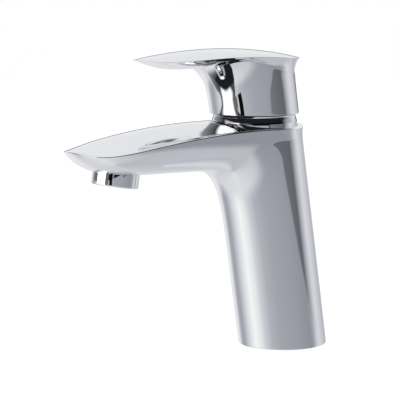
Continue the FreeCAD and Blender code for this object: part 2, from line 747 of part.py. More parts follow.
w_insert = 1.25 + S["grid_height"] + 0.05
insert_blank = cylinder("insert_blank", "grid_radius", "insert_height", along_outlet(w_insert))
insert_holes = []
for ring_n, (ring_r, many) in enumerate(((3.0, 6), (6.6, 12))):
    for k in range(many):
        turn = 2.0 * math.pi * k / many
        spot = frame_at(ring_r * math.cos(turn), ring_r * math.sin(turn), -1.0)
        place = along_outlet(w_insert).multiply(spot)
        insert_holes.append(cylinder("insert_hole_%d_%d" % (ring_n, k), "grid_rib + 0.1",
                                     "insert_height + 2", place))
aerator_insert = cut("aerator_insert", insert_blank, insert_holes)

w_screen = w_insert + S["insert_height"] + 0.05
aerator_screen = turned("aerator_screen", [
    ("0", "0"), ("grid_radius", "0"), ("grid_radius", "screen_height"), ("0", "screen_height")],
    along_outlet(w_screen))
w_regulator = w_screen + S["screen_height"] + 0.05
flow_regulator = turned("aerator_flow_regulator", [
    ("2.2", "0"), ("grid_radius", "0"), ("grid_radius", "regulator_height - 0.6"),
    ("grid_radius - 1", "regulator_height"), ("2.2", "regulator_height")],
    along_outlet(w_regulator))
w_seal = S["ring_height"] + S["thread_height"] + 0.05
aerator_seal = turned("aerator_seal", [
    ("grid_radius - 2", "0"), ("thread_radius", "0"), ("thread_radius", "aerator_seal_height"),
    ("grid_radius - 2", "aerator_seal_height")], along_outlet(w_seal))

# ---------------------------------------------------------------- write
NODES = [
    body_casting, base_gasket, cartridge_base, port_seals, fixed_ceramic_disc,
    moving_ceramic_disc, disc_carrier, cartridge_housing, stem_guide, pivot_pin,
    cartridge_stem, friction_washer, cartridge_nut, limit_round, cartridge_collar,
    collar_ring, handle, handle_set_screw, handle_plug, aerator_housing, outlet_grid,
    aerator_insert, aerator_screen, flow_regulator, aerator_seal,
]
for node in NODES:
    if node.isDerivedFrom("Part::Cylinder") or node.isDerivedFrom("Part::Torus"):
        node.Label = node.Name
doc.recompute()
bad = []
for obj in doc.Objects:
    if "Invalid" in obj.State or "Error" in obj.State:
        bad.append(obj.Name)
for node in NODES:
    shape = node.Shape
    if shape.isNull() or not shape.isValid() or not shape.Solids:
        bad.append(node.Label + " shape")
if bad:
    raise RuntimeError("failed: " + ", ".join(bad))
os.makedirs("parts", exist_ok=True)
for node in NODES:
    node.Shape.exportStep("parts/%s.step" % node.Label)
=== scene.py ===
import math

import bmesh
import bpy
from bpy.props import FloatProperty, FloatVectorProperty, IntProperty, PointerProperty
from mathutils import Matrix, Vector


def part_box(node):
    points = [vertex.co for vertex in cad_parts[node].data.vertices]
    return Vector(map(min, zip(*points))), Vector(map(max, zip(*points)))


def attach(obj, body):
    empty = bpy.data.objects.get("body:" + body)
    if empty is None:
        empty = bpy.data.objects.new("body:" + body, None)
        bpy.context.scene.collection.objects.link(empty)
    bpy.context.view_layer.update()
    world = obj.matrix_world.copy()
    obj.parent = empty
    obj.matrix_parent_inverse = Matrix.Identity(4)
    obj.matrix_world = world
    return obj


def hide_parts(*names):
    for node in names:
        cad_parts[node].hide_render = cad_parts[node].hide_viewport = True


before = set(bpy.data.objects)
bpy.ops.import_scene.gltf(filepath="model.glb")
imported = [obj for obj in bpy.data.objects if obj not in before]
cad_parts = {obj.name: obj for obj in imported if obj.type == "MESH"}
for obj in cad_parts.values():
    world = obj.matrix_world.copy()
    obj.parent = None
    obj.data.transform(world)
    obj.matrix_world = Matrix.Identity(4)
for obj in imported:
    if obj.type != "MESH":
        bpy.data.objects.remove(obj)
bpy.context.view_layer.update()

bl_info = {
    "name": "Basin Mixer Faucet",
    "version": (1, 0, 0),
    "blender": (4, 5, 0),
    "location": "View3D > Sidebar > Faucet",
    "description": "Chrome single-lever basin mixer with its studio",
    "category": "Object",
}

# Sizes are in millimetres unless a name says otherwise; forward is along -Y.
MM = 0.001
COLUMN_LEAN = math.tan(math.radians(7.9))
AXIS_FORWARD = 18.6
PIVOT_HEIGHT = 121.0

FOOT_RADIUS = 25.0
FOOT_EDGE_HEIGHT = 0.9
BODY_TOP_HEIGHT = 127.0
BODY_CROWN = 3.1
BODY_REAR_RADIUS = 26.5
BODY_HALF_WIDTH = 30.8
CROWN_AT_WIDEST = 1.35
BELLY_HEIGHT = 100.8
SPOUT_FILLET = (9.0, 3.4, 1.0)
HOLLOW_RADIUS = 21.5
HOLLOW_ROOF = 74.0

POCKET_RADIUS = 17.7
NUT_SEAT_RADIUS = 19.5
RECESS_RADIUS = 23.95
RECESS_FLOOR = 121.6
COLLAR_RADIUS = 23.8
COLLAR_BALL_RADIUS = 24.4
COLLAR_HEIGHT = 11.6

LEVER_TOP_HEIGHT = 166.3
LEVER_TOP_SINK = 0.003
LEVER_CROWN = 3.4
LEVER_REAR_RADIUS = 28.9
SKIRT_RADIUS = 24.9
SKIRT_BOTTOM = 131.0
SKIRT_FLARE = (11.0, 6.2, 2.8, 0.8)
SCREW_HEIGHT = 146.0

OUTLET_TILT = 9.0
OUTLET = (0.0, -106.8, 95.7)


# ------------------------------------------------------------------ helpers
def node_object(name):
    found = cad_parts[name]
    return bpy.data.objects[found] if isinstance(found, str) else found


def object_from(bm, name, material, smooth=True):
    mesh = bpy.data.meshes.new(name)
    bm.to_mesh(mesh)
    bm.free()
    for face in mesh.polygons:
        face.use_smooth = smooth
    mesh.materials.append(material)
    obj = bpy.data.objects.new(name, mesh)
    bpy.context.scene.collection.objects.link(obj)
    return obj


def add_subdivision(obj, levels):
    mod = obj.modifiers.new("smooth skin", "SUBSURF")
    mod.levels = levels
    mod.render_levels = levels


def add_edge_round(obj, width, segments=3, angle=35.0):
    mod = obj.modifiers.new("rounded edges", "BEVEL")
    mod.width = width
    mod.segments = segments
    mod.limit_method = "ANGLE"
    mod.angle_limit = math.radians(angle)
    mod.harden_normals = True
    mod.miter_outer = "MITER_ARC"


def lean_forward(z):
    return z * COLUMN_LEAN


def ring_point(radius, angle_deg, step_deg):
    """Cage point of a smoothed ring that ends up with the given radius."""
    wide = radius * 3.0 / (2.0 + math.cos(math.radians(step_deg)))
    angle = math.radians(angle_deg)
    return wide * math.sin(angle), wide * math.cos(angle)


# ------------------------------------------------------------------ forms
def body_top(x, s):
    """Height of the crowned top of the casting, s forward of the column."""
    crown = BODY_CROWN * (1.0 + 0.43 * max(s, -30.0) / 100.0)
    z = BODY_TOP_HEIGHT + 0.068 * s - 0.00121 * s * s - 0.00000204 * s ** 3
    rest = 1.0 - (x / BODY_HALF_WIDTH) ** 2
    return z - CROWN_AT_WIDEST * crown * (1.0 - 0.5 * rest - 0.5 * rest * rest)


def lever_top(x, s):
    """Height of the lever's crowned top, a hair under the solid's own."""
    crown = LEVER_CROWN * (1.0 + 0.6 * max(s, -30.0) / 100.0)
    z = LEVER_TOP_HEIGHT - LEVER_TOP_SINK + 0.0874 * s - 0.00265 * s * s + 0.0000072 * s ** 3
    return z - crown * (x / LEVER_REAR_RADIUS) ** 2


def body_outline():
    """Cage points of the casting's rim as (x, forward), from the tip to the rear."""
    points = [(0.0, 115.6), (11.2, 114.1), (25.6, 106.4), (30.6, 83.1)]
    points += [(BODY_HALF_WIDTH, 63.0), (29.4, 40.0), (27.4, 17.0)]
    return points + [ring_point(BODY_REAR_RADIUS, 100.0 + 16.0 * k, 16.0) for k in range(6)]


def lever_outline():
    """Cage points of the lever's rim as (x, forward), from the tip to the rear."""
    points = [(0.0, 68.6), (9.8, 66.7), (19.2, 62.4), (25.3, 45.7), (27.2, 27.0), (28.6, 9.0)]
    return points + [ring_point(LEVER_REAR_RADIUS, 104.0 + 19.0 * k, 19.0) for k in range(5)]


def body_columns():
    """Cage columns from the rim to the base, half way round, as (x, forward, z)."""
    outline = body_outline()
    step = 180.0 / (len(outline) - 1)
    top_forward = lean_forward(BODY_TOP_HEIGHT)

    def parts(x, s):
        """How far out a point is: sideways, towards the tip, and both together."""
        a = abs(x) / (26.6 + 4.4 * min(max(s, 0.0), 85.0) / 85.0)
        b = max(s - 86.0, 0.0) / 29.6
        return a, b, math.hypot(a, b)

    def rise(x, s, full):
        """Share of the height gained between the belly and the rim."""
        a, b, far = parts(x, s)
        bow = b * b / (a * a + b * b + 1e-9)
        far = min(far / full, 1.0)
        return 1.0 - (1.0 - far ** (1.9 + 1.1 * bow)) ** (1.0 / (1.9 - 0.8 * bow))

    columns = []
    for i, (rx, rs) in enumerate(outline):
        kx, ks = ring_point(FOOT_RADIUS, step * i, step)
        rim = body_top(rx, rs)
        full = max(parts(rx, rs)[2], 0.05)
        spout = max(0.0, min(1.0, (6.8 - i) / 1.6))
        corner = body_top(kx, ks) - 9.0
        column = []
        for u in (0.0, 0.035, 0.11, 0.25, 0.46, 0.72, 1.0):
            under = rim - (rim - BELLY_HEIGHT) * (1.0 - rise(rx + u * (kx - rx), rs + u * (ks - rs), full))
            px = rx + u * (kx - rx)
            ps = rs + u * (ks - rs) - (top_forward - lean_forward(under)) * u
            flare = 1.0 - (1.0 - u) ** 2.0
            qz = rim + (corner - rim) * u
            qx = rx + flare * (kx - rx)
            qs = rs + flare * (ks - rs) - (top_forward - lean_forward(qz)) * flare
            column.append((spout * px + (1.0 - spout) * qx,
                           spout * ps + (1.0 - spout) * qs + top_forward,
                           spout * under + (1.0 - spout) * qz))
        low = column[-1][2]
        away = max(math.hypot(rx - kx, rs - ks), 1.0)
        bx, bs = spout * (rx - kx) / away, spout * (rs - ks) / away
        x, s, z = column[-1]
        column[-1] = (x + SPOUT_FILLET[0] * bx, s + SPOUT_FILLET[0] * bs, z)
        last = low - 12.0 - 6.0 * spout
        levels = [(low - 6.0 - 3.0 * spout, SPOUT_FILLET[1]), (last, SPOUT_FILLET[2])]
        levels += [(last * (1.0 - part), 0.0) for part in (0.22, 0.42, 0.62, 0.82, 0.94, 1.0)]
        for z, reach in levels:
            column.append((kx + reach * bx, ks + reach * bs + lean_forward(z), z))
        columns.append(column)
    return columns


def lever_columns():
    """Cage columns from the rim to the skirt's edge, half way round, as (x, forward, z)."""
    outline = lever_outline()
    step = 180.0 / (len(outline) - 1)
    top_forward = lean_forward(LEVER_TOP_HEIGHT)

    def skirt_shift(z):
        return AXIS_FORWARD + (z - SKIRT_BOTTOM) * COLUMN_LEAN - top_forward

    def rise(x, s):
        """Share of the height gained between the underside and the rim."""
        a = min(abs(x) / 29.0, 1.0)
        b = min(max(s - 30.0, 0.0) / 38.6, 1.0)
        side = 1.0 - (1.0 - a ** 2.4) ** (1.0 / 2.4)
        return 1.0 - (1.0 - side) * (1.0 - b ** 3.4)

    columns = []
    for i, (rx, rs) in enumerate(outline):
        kx, ks = ring_point(SKIRT_RADIUS, step * i, step)
        rim = lever_top(rx, rs)
        full = max(rise(rx, rs), 0.05)
        front = max(0.0, min(1.0, (5.8 - i) / 1.6))
        column = []
        for u in (0.0, 0.05, 0.14, 0.32, 0.55, 0.74, 1.0):
            x = rx + u * (kx - rx)
            s = rs + u * (ks - rs)
            under = lever_top(26.0, s) - 5.6
            pz = rim + (under - rim) * (1.0 - rise(x, s) / full) * min(1.0, 4.0 * u + 0.15 * (u > 0.0))
            flare = 1.0 - (1.0 - u) ** 2.0
            qz = rim + (lever_top(kx, ks) - 10.0 - rim) * u
            qx = rx + flare * (kx - rx)
            qs = rs + flare * (ks + skirt_shift(qz) - rs)
            s += skirt_shift(pz) * u
            column.append((front * x + (1.0 - front) * qx,
                           front * s + (1.0 - front) * qs + top_forward,
                           front * pz + (1.0 - front) * qz))
        low = column[-1][2]
        away = math.hypot(rx - kx, rs - ks)
        grow = front * min(1.0, away / 44.0) / max(away, 1.0)
        bx, bs = grow * (rx - kx), grow * (rs - ks)
        x, s, z = column[-1]
        column[-1] = (x + SKIRT_FLARE[0] * bx, s + SKIRT_FLARE[0] * bs, z)
        levels = [(low - 3.0, SKIRT_FLARE[1]), (low - 7.0, SKIRT_FLARE[2]),
                  (low - 12.0, SKIRT_FLARE[3]),
                  (SKIRT_BOTTOM + 0.5 * (low - 12.0 - SKIRT_BOTTOM), 0.0), (SKIRT_BOTTOM, 0.0)]
        for z, reach in levels:
            column.append((kx + reach * bx, ks + reach * bs + skirt_shift(z) + top_forward, z))
        columns.append(column)
    return columns


def all_round(half):
    """Mirror half a ring of points or columns into a whole ring."""
    def flipped(item):
        if isinstance(item, tuple):
            return (-item[0], item[1], item[2])
        return [flipped(part) for part in item]
    return half + [flipped(item) for item in reversed(half[1:-1])]


def even_ring(count, radius, forward, z):
    """Ring of (x, forward, z) that smooths to a level circle."""
    points = []
    for i in range(count):
        x, f = ring_point(radius, 360.0 * i / count, 360.0 / count)
        points.append((x, f + forward, z))
    return points


def toward(start, end, distance):
    gap = math.dist(start, end)
    return tuple(a + (b - a) * distance / gap for a, b in zip(start, end))


def between(start, end, share):
    return tuple(a + (b - a) * share for a, b in zip(start, end))


def inset_ring(ring, distance, height):
    """Ring moved inwards along its own outline, set on the crowned top."""
    moved = []
    for i, (x, f, z) in enumerate(ring):
        before, after = ring[i - 1], ring[(i + 1) % len(ring)]
        tx, tf = after[0] - before[0], after[1] - before[1]
        size = math.hypot(tx, tf)
        x, f = x + tf / size * distance, f - tx / size * distance
        moved.append((x, f, height(x, f)))
    return moved


def rim_rows(columns, height, round_size):
    """Rows that carry a leaf from its top support over the rim to the side."""
    rim = [column[0] for column in columns]
    support, second = [], []
    for column in columns:
        third = math.dist(column[0], column[2])
        near = min(round_size, 0.45 * third)
        support.append(toward(column[0], column[1], near))
        second.append(toward(column[0], column[1],
                             max(math.dist(column[0], column[1]), 1.5 * near)))
    top = inset_ring(rim, round_size, height)
    side = [[column[row] for column in columns] for row in range(2, len(columns[0]))]
    return top, [rim, support, second] + side


def grow_skin(rings):
    """Extrude a circle ring by ring; rings are (points, crease, crown share)."""
    bm = bmesh.new()
    crease = bm.edges.layers.float.new("crease_edge")
    share = bm.verts.layers.float.new("crown_share")
    count = len(rings[0][0])
    made = bmesh.ops.create_circle(bm, segments=count, radius=1.0, cap_ends=False)
    ring = sorted(made["verts"], key=lambda v: math.atan2(v.co.x, v.co.y) % (2 * math.pi))
    rows = []
    for points, _, crown in rings:
        if rows:
            ring = extrude_ring(bm, ring)
        for vert, (x, forward, z) in zip(ring, points):
            vert.co = Vector((x, -forward, z)) * MM
            vert[share] = crown
        rows.append(ring)
    for row, (_, sharp, _) in zip(rows, rings):
        if sharp:
            for edge in ring_edges(bm, row):
                edge[crease] = 1.0
    return bm, rows, crease


def ring_edges(bm, ring):
    return [bm.edges.get((ring[i - 1], ring[i])) for i in range(len(ring))]


def extrude_ring(bm, ring):
    grown = bmesh.ops.extrude_edge_only(bm, edges=ring_edges(bm, ring))["geom"]
    fresh = {v for v in grown if isinstance(v, bmesh.types.BMVert)}
    return [next(edge.other_vert(vert) for edge in vert.link_edges
                 if edge.other_vert(vert) in fresh) for vert in ring]


def close_ring(bm, ring):
    bmesh.ops.contextual_create(bm, geom=ring_edges(bm, ring))


def pipe_end(bm, centre, radius, depth, crease):
    """Blind round hole that starts in the plane of centre; returns its mouth's edges."""
    made = bmesh.ops.create_circle(bm, segments=12, radius=radius * MM * 3.0 / 2.866, cap_ends=False)
    ring = sorted(made["verts"], key=lambda v: math.atan2(v.co.x, v.co.y) % (2 * math.pi))
    bmesh.ops.translate(bm, verts=ring, vec=Vector(centre) * MM)
    mouth = ring_edges(bm, ring)
    end = extrude_ring(bm, ring)
    bmesh.ops.translate(bm, verts=end, vec=(0, 0, depth * MM))
    close_ring(bm, end)
    for edge in mouth + ring_edges(bm, end):
        edge[crease] = 1.0
    return mouth


def face_outwards(bm):
    bmesh.ops.recalc_face_normals(bm, faces=bm.faces)
    if bm.calc_volume(signed=True) < 0.0:
        bmesh.ops.reverse_faces(bm, faces=bm.faces)


def set_on_crown(obj, height):
    """Move the finely divided top onto the exact crowned surface."""
    bm = bmesh.new()
    bm.from_mesh(obj.data)
    share = bm.verts.layers.float["crown_share"]
    for vert in bm.verts:
        part = max(0.0, min(1.0, vert[share]))
        if part > 0.0:
            part = part * part * (3.0 - 2.0 * part)
            x, f, z = vert.co.x / MM, -vert.co.y / MM, vert.co.z
            vert.co.z = z + part * (height(x, f) * MM - z)
    bm.verts.layers.float.remove(share)
    bm.to_mesh(obj.data)
    bm.free()


def settle(obj):
    """Turn the modifiers on an object into its own mesh."""
    graph = bpy.context.evaluated_depsgraph_get()
    mesh = bpy.data.meshes.new_from_object(obj.evaluated_get(graph))
    mesh.name = obj.name
    obj.modifiers.clear()
    obj.data = mesh


def cut_rounds(obj, rounds):
    """Cut round holes; each is (start, direction, radius, length) in millimetres."""
    for start, direction, radius, length in rounds:
        bm = bmesh.new()
        made = bmesh.ops.create_cone(bm, cap_ends=True, segments=96, radius1=radius * MM,
                                     radius2=radius * MM, depth=length * MM)
        bmesh.ops.translate(bm, verts=made["verts"], vec=(0, 0, length * MM / 2.0))
        turn = Vector((0, 0, 1)).rotation_difference(Vector(direction)).to_matrix()
        bmesh.ops.rotate(bm, verts=made["verts"], cent=(0, 0, 0), matrix=turn)
        bmesh.ops.translate(bm, verts=made["verts"], vec=Vector(start) * MM)
        cutter = object_from(bm, "cutter", chrome())
        mod = obj.modifiers.new("hole", "BOOLEAN")
        mod.object = cutter
        mod.solver = "EXACT"
        settle(obj)
        bpy.data.objects.remove(cutter)
    obj.data.set_sharp_from_angle(angle=math.radians(40.0))


def turned_piece(name, profile, material, axis, turn=None, steps=96):
    """Spin a closed outline of (radius, height) in millimetres about its axis."""
    bm = bmesh.new()
    verts = [bm.verts.new((r * MM, 0.0, z * MM)) for r, z in profile]
    edges = [bm.edges.new((verts[i], verts[(i + 1) % len(verts)])) for i in range(len(verts))]
    bmesh.ops.spin(bm, geom=verts + edges, cent=(0, 0, 0), axis=(0, 0, 1),
                   angle=2 * math.pi, steps=steps, use_merge=True)
    bmesh.ops.remove_doubles(bm, verts=bm.verts, dist=1e-6)
    face_outwards(bm)
    if turn:
        bmesh.ops.rotate(bm, verts=bm.verts, cent=(0, 0, 0), matrix=turn)
    bmesh.ops.translate(bm, verts=bm.verts, vec=axis)
    return object_from(bm, name, material)


# ------------------------------------------------------------------ finishes
def polish_group():
    """Faint wiping marks and film on polished plate: outputs roughness and tint."""
    group = bpy.data.node_groups.get("plate polish")
    if group:
        return group
    group = bpy.data.node_groups.new("plate polish", "ShaderNodeTree")
    face = group.interface
    for name, default in (("Base Roughness", 0.03), ("Variation", 0.02), ("Scale", 60.0)):
        face.new_socket(name, in_out="INPUT", socket_type="NodeSocketFloat").default_value = default
    face.new_socket("Tint", in_out="INPUT", socket_type="NodeSocketColor")
    face.new_socket("Roughness", in_out="OUTPUT", socket_type="NodeSocketFloat")
    face.new_socket("Color", in_out="OUTPUT", socket_type="NodeSocketColor")
    nodes, links = group.nodes, group.links
    enter = nodes.new("NodeGroupInput")
    leave = nodes.new("NodeGroupOutput")
    coords = nodes.new("ShaderNodeTexCoord")
    film = nodes.new("ShaderNodeTexNoise")
    film.inputs["Detail"].default_value = 4.0
    links.new(coords.outputs["Object"], film.inputs["Vector"])
    links.new(enter.outputs["Scale"], film.inputs["Scale"])
    rough = nodes.new("ShaderNodeMath")
    rough.operation = "MULTIPLY_ADD"
    links.new(film.outputs["Fac"], rough.inputs[0])
    links.new(enter.outputs["Variation"], rough.inputs[1])
    links.new(enter.outputs["Base Roughness"], rough.inputs[2])
    links.new(rough.outputs[0], leave.inputs["Roughness"])
    shade = nodes.new("ShaderNodeMapRange")
    shade.inputs["To Min"].default_value = 0.985
    shade.inputs["To Max"].default_value = 1.0
    links.new(film.outputs["Fac"], shade.inputs["Value"])
    tint = nodes.new("ShaderNodeVectorMath")
    tint.operation = "SCALE"
    links.new(enter.outputs["Tint"], tint.inputs[0])
    links.new(shade.outputs["Result"], tint.inputs["Scale"])
    links.new(tint.outputs["Vector"], leave.inputs["Color"])
    return group


def finish(name, tint, metallic=0.0, roughness=0.4, variation=0.05, scale=60.0, bump=0.0):
    material = bpy.data.materials.get(name)
    if material:
        return material
    material = bpy.data.materials.new(name)
    material.use_nodes = True
    nodes, links = material.node_tree.nodes, material.node_tree.links
    shader = nodes["Principled BSDF"]
    shader.inputs["Metallic"].default_value = metallic
    polish = nodes.new("ShaderNodeGroup")
    polish.node_tree = polish_group()
    polish.inputs["Base Roughness"].default_value = roughness
    polish.inputs["Variation"].default_value = variation
    polish.inputs["Scale"].default_value = scale
    polish.inputs["Tint"].default_value = (*tint, 1.0)
    links.new(polish.outputs["Roughness"], shader.inputs["Roughness"])
    links.new(polish.outputs["Color"], shader.inputs["Base Color"])
    if bump:
        coords = nodes.new("ShaderNodeTexCoord")
        grain = nodes.new("ShaderNodeTexNoise")
        grain.inputs["Scale"].default_value = 900.0
        lift = nodes.new("ShaderNodeBump")
        lift.inputs["Strength"].default_value = bump
        lift.inputs["Distance"].default_value = 0.0002
        links.new(coords.outputs["Object"], grain.inputs["Vector"])
        links.new(grain.outputs["Fac"], lift.inputs["Height"])
        links.new(lift.outputs["Normal"], shader.inputs["Normal"])
    return material


def chrome():
    tint = bpy.context.scene.faucet_finish.chrome_tint
    rough = bpy.context.scene.faucet_finish.polish
    return finish("polished chrome", tuple(tint), 1.0, rough, 0.015, 35.0)


def rubber():
    return finish("black rubber", (0.02, 0.02, 0.021), 0.0, 0.55, 0.15, 120.0, 0.15)


def white_plastic():
    return finish("white moulded plastic", (0.80, 0.80, 0.77), 0.0, 0.38, 0.12, 90.0, 0.08)


def grey_plastic():
    return finish("grey moulded plastic", (0.33, 0.34, 0.36), 0.0, 0.35, 0.12, 90.0, 0.08)


def turned_brass():
    return finish("turned brass", (0.66, 0.48, 0.22), 1.0, 0.22, 0.12, 200.0, 0.05)


def plain_steel():
    return finish("stainless steel", (0.55, 0.55, 0.55), 1.0, 0.25, 0.12, 200.0, 0.05)


def lapped_ceramic():
    return finish("lapped ceramic", (0.86, 0.85, 0.81), 0.0, 0.12, 0.06, 80.0)


# ------------------------------------------------------------------ settings
class FaucetFinish(bpy.types.PropertyGroup):
    """Colours and gloss of the plated parts."""
    chrome_tint: FloatVectorProperty(
        name="Chrome tint", description="Reflected colour of the plate", subtype="COLOR",
        size=3, min=0.0, max=1.0, default=(0.92, 0.925, 0.93))
    polish: FloatProperty(
        name="Polish", description="Roughness of the plate before its faint film",
        min=0.0, max=0.5, default=0.02)


class FaucetSizes(bpy.types.PropertyGroup):
    """Sizes that finish the plated skins."""
    rim_round: FloatProperty(
        name="Rim rounding", description="Size of the rounding along the leaf rims",
        unit="LENGTH", min=0.0, default=0.0009)
    skin_levels: IntProperty(
        name="Skin levels", description="Subdivision of the plated skins",
        min=1, max=4, default=3)


# ------------------------------------------------------------------ pieces
class FAUCET_OT_body(bpy.types.Operator):
    """Casting: leaning column flowing into the leaf-shaped spout"""
    bl_idname = "faucet.body"
    bl_label = "Add Faucet Body"

    def execute(self, context):
        sizes = context.scene.faucet_sizes
        top_forward = lean_forward(BODY_TOP_HEIGHT)
        columns = all_round(body_columns())
        count = len(columns)

        def height(x, f):
            return body_top(x, f - top_forward)

        def on_top(radius):
            return [(x, f, height(x, f)) for x, f, _ in even_ring(count, radius, AXIS_FORWARD, 0.0)]

        edge_top, side = rim_rows(columns, height, sizes.rim_round / MM)
        mouth = on_top(RECESS_RADIUS)
        mouth_top = on_top(RECESS_RADIUS + 0.3)
        rings = []
        for radius, z in ((POCKET_RADIUS, 96.0), (POCKET_RADIUS, 114.8), (NUT_SEAT_RADIUS, 114.8),
                          (NUT_SEAT_RADIUS, RECESS_FLOOR), (RECESS_RADIUS, RECESS_FLOOR)):
            rings.append((even_ring(count, radius, AXIS_FORWARD, z), True, 0.0))
        rings.append(([(x, f, z - 0.3) for x, f, z in mouth], False, 0.0))
        rings.append((mouth, False, 0.0))
        rings.append((mouth_top, False, 1.0))
        for share in (0.15, 0.36, 0.6, 0.83):
            rings.append(([between(a, b, share) for a, b in zip(mouth_top, edge_top)], False, 1.0))
        rings = [(points if crown < 1.0 else [(x, f, height(x, f)) for x, f, z in points],
                  sharp, crown) for points, sharp, crown in rings]
        rings.append((edge_top, False, 0.0))
        rings += [(row, False, 0.0) for row in side[:-1]]
        foot = even_ring(count, FOOT_RADIUS, lean_forward(FOOT_EDGE_HEIGHT), FOOT_EDGE_HEIGHT)
        rings.append((foot, False, 0.0))
        rings.append((even_ring(count, FOOT_RADIUS, 0.0, 0.0), False, 0.0))
        rings.append((even_ring(count, FOOT_RADIUS - 0.65, 0.0, 0.0), False, 0.0))
        for radius, z in ((24.0, 0.0), (24.0, 2.0), (HOLLOW_RADIUS, 2.0), (HOLLOW_RADIUS, 38.0),
                          (HOLLOW_RADIUS, HOLLOW_ROOF)):
            rings.append((even_ring(count, radius, lean_forward(z), z), True, 0.0))
        bm, rows, crease = grow_skin(rings)
        close_ring(bm, rows[0])
        roof = ring_edges(bm, rows[-1])
        for x, forward, radius in ((-9.0, 13.0, 4.6), (9.0, 13.0, 4.6), (0.0, -1.5, 3.4)):
            roof += pipe_end(bm, (x, -forward, HOLLOW_ROOF), radius, 10.0, crease)
        bmesh.ops.triangle_fill(bm, edges=roof, use_beauty=True)
        face_outwards(bm)
        obj = object_from(bm, "faucet_body", chrome())
        add_subdivision(obj, sizes.skin_levels)
        settle(obj)
        set_on_crown(obj, height)
        tilt = math.radians(OUTLET_TILT)
        out = Vector((0.0, math.sin(tilt), math.cos(tilt)))
        outlet = Vector(OUTLET)
        cut_rounds(obj, [(outlet - out, out, 12.95, 9.2), (outlet, out, 11.5, 13.4)])
        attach(obj, "body")
        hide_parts("body_casting")
        return {"FINISHED"}


class FAUCET_OT_handle(bpy.types.Operator):
    """Lever: leaf-shaped crowned top over a round skirt"""
    bl_idname = "faucet.handle"
    bl_label = "Add Lever"

    def execute(self, context):
        sizes = context.scene.faucet_sizes
        top_forward = lean_forward(LEVER_TOP_HEIGHT)

        def height(x, f):
            return lever_top(x, f - top_forward)

        columns = all_round(lever_columns())
        count = len(columns)
        edge_top, side = rim_rows(columns, height, sizes.rim_round / MM)
        middle = top_forward + 16.0
        rings = []
        for share in (0.12, 0.3, 0.5, 0.7, 0.88):
            ring = [between((0.0, middle, 0.0), point, share) for point in edge_top]
            rings.append(([(x, f, height(x, f)) for x, f, _ in ring], False, 1.0))
        rings.append((edge_top, False, 0.0))
        rings += [(row, False, 0.0) for row in side[:-1]]
        for radius, z in ((SKIRT_RADIUS, SKIRT_BOTTOM + 0.45), (SKIRT_RADIUS, SKIRT_BOTTOM),
                          (SKIRT_RADIUS - 0.4, SKIRT_BOTTOM)):
            rings.append((even_ring(count, radius, AXIS_FORWARD, z), False, 0.0))
        for radius, z in ((23.3, SKIRT_BOTTOM), (18.9, 155.0), (8.5, 155.0), (8.5, 143.0),
                          (5.75, 143.0), (5.75, 146.6)):
            rings.append((even_ring(count, radius, AXIS_FORWARD, z), True, 0.0))
        bm, rows, _ = grow_skin(rings)
        close_ring(bm, rows[0])
        close_ring(bm, rows[-1])
        face_outwards(bm)
        obj = object_from(bm, "lever", chrome())
        add_subdivision(obj, sizes.skin_levels)
        settle(obj)
        set_on_crown(obj, height)
        back = Vector((0.0, 1.0, 0.0))
        cut_rounds(obj, [((0.0, -15.6, SCREW_HEIGHT), back, 2.5, 30.0),
                         ((0.0, 1.6, SCREW_HEIGHT), back, 3.4, 12.0)])
        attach(obj, "lever")
        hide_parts("handle")
        return {"FINISHED"}


class FAUCET_OT_collar(bpy.types.Operator):
    """Chrome collar between the lever's skirt and the casting"""
    bl_idname = "faucet.collar"
    bl_label = "Add Collar"

    def execute(self, context):
        axis = Vector((0.0, -AXIS_FORWARD, RECESS_FLOOR)) * MM
        bore, mouth, roof = 19.9, 15.8, COLLAR_HEIGHT - 1.8
        profile = [(bore, 0.0), (COLLAR_RADIUS, 0.0)]
        for k in range(13):
            z = COLLAR_HEIGHT - 9.0 + 9.0 * k / 12.0
            above_pivot = z + RECESS_FLOOR - PIVOT_HEIGHT
            ball = math.sqrt(COLLAR_BALL_RADIUS ** 2 - above_pivot ** 2)
            profile.append((min(COLLAR_RADIUS, ball), z))
        profile += [(mouth, COLLAR_HEIGHT), (mouth, roof), (bore, roof)]
        obj = turned_piece("collar_band", profile, chrome(), axis, steps=128)
        add_edge_round(obj, 0.0004)
        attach(obj, "body")
        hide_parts("cartridge_collar")
        return {"FINISHED"}


class FAUCET_OT_aerator(bpy.types.Operator):
    """Aerator ring screwed into the spout's belly"""
    bl_idname = "faucet.aerator"
    bl_label = "Add Aerator Ring"

    def execute(self, context):
        turn = Matrix.Rotation(math.radians(-OUTLET_TILT), 3, "X")
        axis = Vector(OUTLET) * MM
        profile = [(9.2, 0.9), (9.5, 0.25), (10.2, 0.0), (11.9, 0.0), (12.35, 0.15), (12.65, 0.5),
                   (12.75, 0.95), (12.75, 8.0), (11.4, 8.0), (11.4, 11.4), (9.9, 11.4), (9.9, 1.4),
                   (9.2, 1.4)]
        obj = turned_piece("aerator_ring", profile, chrome(), axis, turn, steps=128)
        add_edge_round(obj, 0.0003)
        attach(obj, "body")
        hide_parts("aerator_housing")
        return {"FINISHED"}


